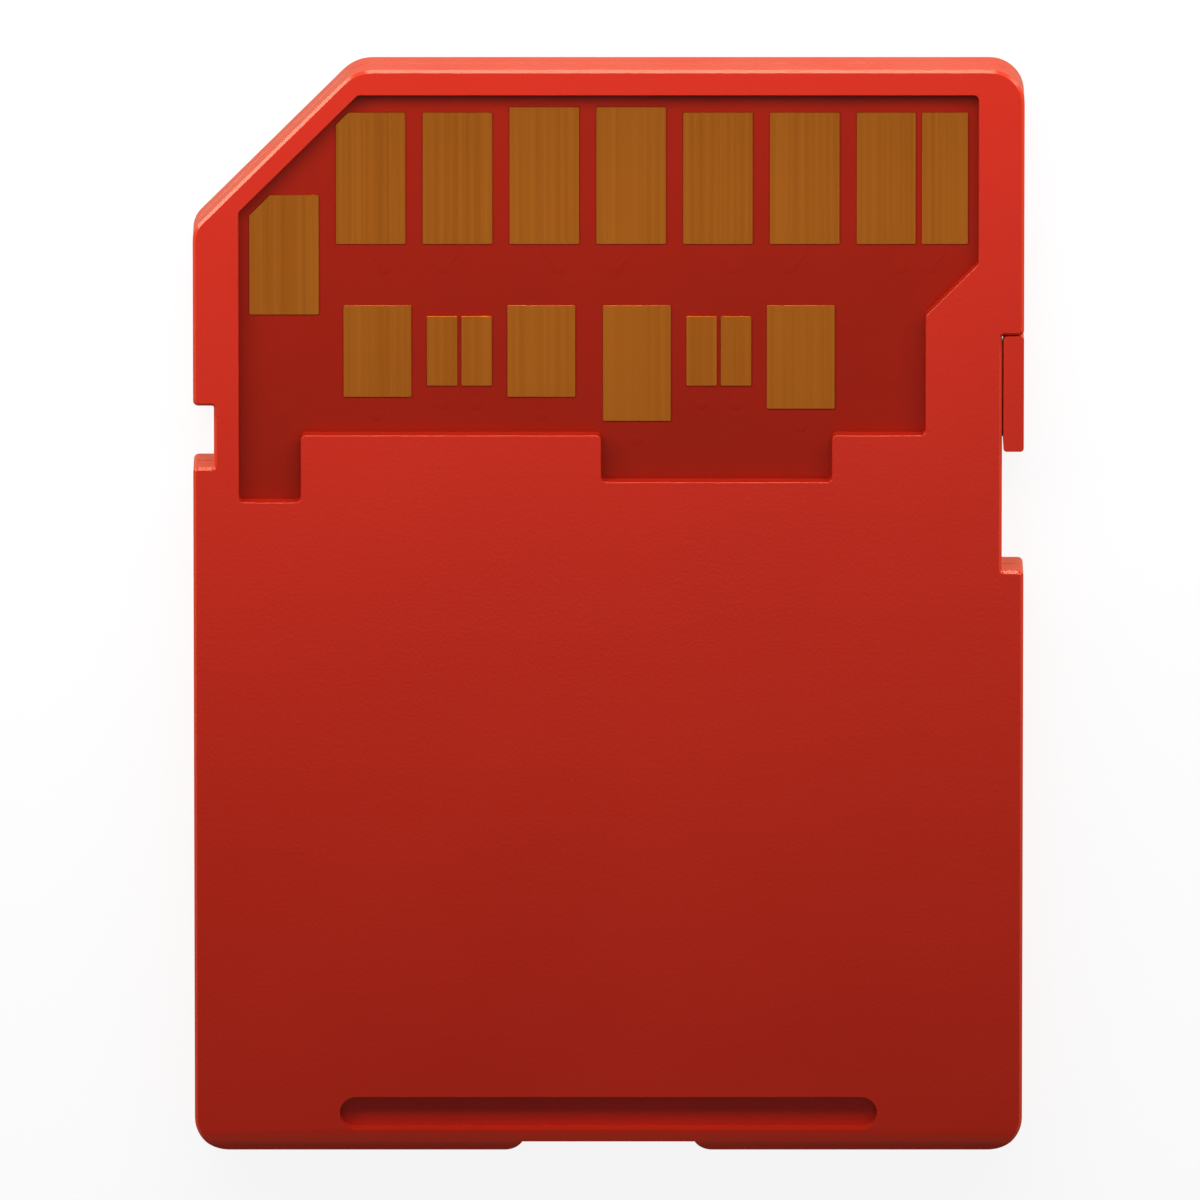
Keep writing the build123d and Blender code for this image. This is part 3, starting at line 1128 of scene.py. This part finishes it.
@dataclass
class Studio:
    """A pale table, soft lights, a dim room and the camera."""

    table_mm: float = 3000.0
    table_albedo: float = 0.16
    table_glow: float = 0.88
    table_bounce: float = 0.50
    bounce_colour: Colour = (1.0, 0.85, 0.48, 1.0)
    room_light: float = 0.14
    wall_light: float = 0.9
    tilt_deg: float = 12.3
    lens: float = 1000.0
    sensor: float = 36.0
    clip_m: Range = (0.01, 10.0)
    frame_mm: float = 34.78
    aim_mm: Range = (-0.245, -0.075)
    lights: tuple[Softbox, ...] = (
        Softbox(
            "long_softbox",
            place_mm=(-3.0, 31.0, 29.0),
            target_mm=(0.0, 6.0, 1.0),
            size_mm=(110.0, 18.0),
            watts=0.0302,
            in_gloss=False,
        ),
        Softbox(
            "end_edge_light",
            place_mm=(2.0, 165.0, 1.0),
            target_mm=(2.0, 15.0, 1.0),
            size_mm=(54.0, 1.4),
            watts=0.0300,
            colour=WARM_EDGE,
        ),
        Softbox(
            "cut_edge_light",
            place_mm=(-130.6, 102.3, 1.0),
            target_mm=(-9.6, 13.6, 1.0),
            size_mm=(54.0, 1.4),
            watts=0.1107,
            colour=WARM_EDGE,
        ),
        Softbox(
            "notch_light",
            place_mm=(125.6, 97.6, 1.0),
            target_mm=(11.7, 0.0, 1.0),
            size_mm=(54.0, 1.4),
            watts=0.1296,
            colour=WARM_EDGE,
        ),
        Softbox(
            "end_glint",
            place_mm=(2.0, 112.0, 23.2),
            target_mm=(2.0, 15.0, 2.0),
            size_mm=(54.0, 8.0),
            watts=0.0310,
            colour=WARM_EDGE,
            in_matt=False,
        ),
        Softbox(
            "cut_glint",
            place_mm=(-82.9, 67.3, 15.8),
            target_mm=(-9.6, 13.6, 2.0),
            size_mm=(54.0, 8.0),
            watts=0.0220,
            colour=WARM_EDGE,
            in_matt=False,
        ),
        Softbox(
            "overhead_panel",
            place_mm=(1.0, -1.0, 70.0),
            target_mm=(1.0, 5.0, 1.0),
            size_mm=(56.0, 21.0),
            watts=0.0019,
        ),
        Softbox(
            "tail_panel",
            place_mm=(0.0, -80.0, 58.0),
            target_mm=(0.0, 6.0, 1.0),
            size_mm=(340.0, 44.0),
            watts=0.0240,
            colour=WARM_PANEL,
            in_matt=False,
        ),
        Softbox(
            "end_panel",
            place_mm=(0.0, 92.0, 58.0),
            target_mm=(0.0, 6.0, 1.0),
            size_mm=(340.0, 44.0),
            watts=0.0240,
            colour=WARM_PANEL,
            in_matt=False,
        ),
    )

    def table(self) -> None:
        """Lay the table under the card."""
        half = self.table_mm * MM / 2
        mesh = bpy.data.meshes.new("table")
        corners = [(-half, -half, 0), (half, -half, 0), (half, half, 0), (-half, half, 0)]
        mesh.from_pydata(corners, [], [range(len(corners))])
        material = bpy.data.materials.new("pale_table")
        material.use_nodes = True
        graph = NodeGraph(material.node_tree)
        graph.tree.nodes.clear()
        tone = self.table_albedo
        matt = graph.add("ShaderNodeBsdfDiffuse", {"Color": (tone, tone, tone, 1.0)})
        glow = graph.add("ShaderNodeEmission", {"Color": WHITE, "Strength": self.table_glow})
        warm = {"Color": self.bounce_colour, "Strength": self.table_bounce}
        bounce = graph.add("ShaderNodeEmission", warm)
        seen = graph.add("ShaderNodeLightPath").outputs["Is Camera Ray"]
        light = graph.add("ShaderNodeMixShader", {0: seen, 1: bounce.outputs[0], 2: glow.outputs[0]})
        both = graph.add("ShaderNodeAddShader", {0: matt.outputs[0], 1: light.outputs[0]})
        graph.add("ShaderNodeOutputMaterial", {"Surface": both.outputs[0]})
        mesh.materials.append(material)
        new_object("table", mesh)

    def room(self) -> None:
        """Set the room's even light, and the pale wall that the camera sees behind the table."""
        world = bpy.data.worlds.new("studio_room")
        bpy.context.scene.world = world
        world.use_nodes = True
        graph = NodeGraph(world.node_tree)
        graph.tree.nodes.clear()
        even = graph.add("ShaderNodeBackground", {"Color": WHITE, "Strength": self.room_light})
        wall = graph.add("ShaderNodeBackground", {"Color": WHITE, "Strength": self.wall_light})
        seen = graph.add("ShaderNodeLightPath").outputs["Is Camera Ray"]
        both = graph.add("ShaderNodeMixShader", {0: seen, 1: even.outputs[0], 2: wall.outputs[0]})
        graph.add("ShaderNodeOutputWorld", {"Surface": both.outputs[0]})

    def camera(self) -> None:
        """Set the camera above the card, tipped toward its contact end."""
        tilt = math.radians(self.tilt_deg)
        eye = bpy.data.cameras.new("studio_camera")
        eye.lens = self.lens
        eye.sensor_width = self.sensor
        eye.clip_start, eye.clip_end = self.clip_m
        distance = self.frame_mm * MM * self.lens / self.sensor
        across = Vector((1.0, 0.0, 0.0))
        up = Vector((0.0, math.cos(tilt), -math.sin(tilt)))
        back = Vector((0.0, math.sin(tilt), math.cos(tilt)))
        holder = bpy.data.objects.new("studio_camera", eye)
        bpy.context.scene.collection.objects.link(holder)
        aim = across * self.aim_mm[0] * MM + up * self.aim_mm[1] * MM
        holder.location = aim + back * distance
        holder.rotation_euler = (-tilt, 0.0, 0.0)
        bpy.context.scene.camera = holder

    def build(self) -> None:
        """Build the studio."""
        self.table()
        self.room()
        for light in self.lights:
            light.build()
        self.camera()
        bpy.context.scene.view_settings.view_transform = "Standard"


def main() -> None:
    """Build the card's pieces and the studio in order."""
    logging.basicConfig(level=logging.INFO, format="%(name)s: %(message)s")
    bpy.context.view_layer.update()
    finishes = FinishLibrary()
    CaseMouldings(finishes).build()
    GoldContacts(finishes).build()
    BoardDressing(finishes).build()
    BoardPackages(finishes).build()
    Studio().build()


if __name__ == "__main__":
    main()
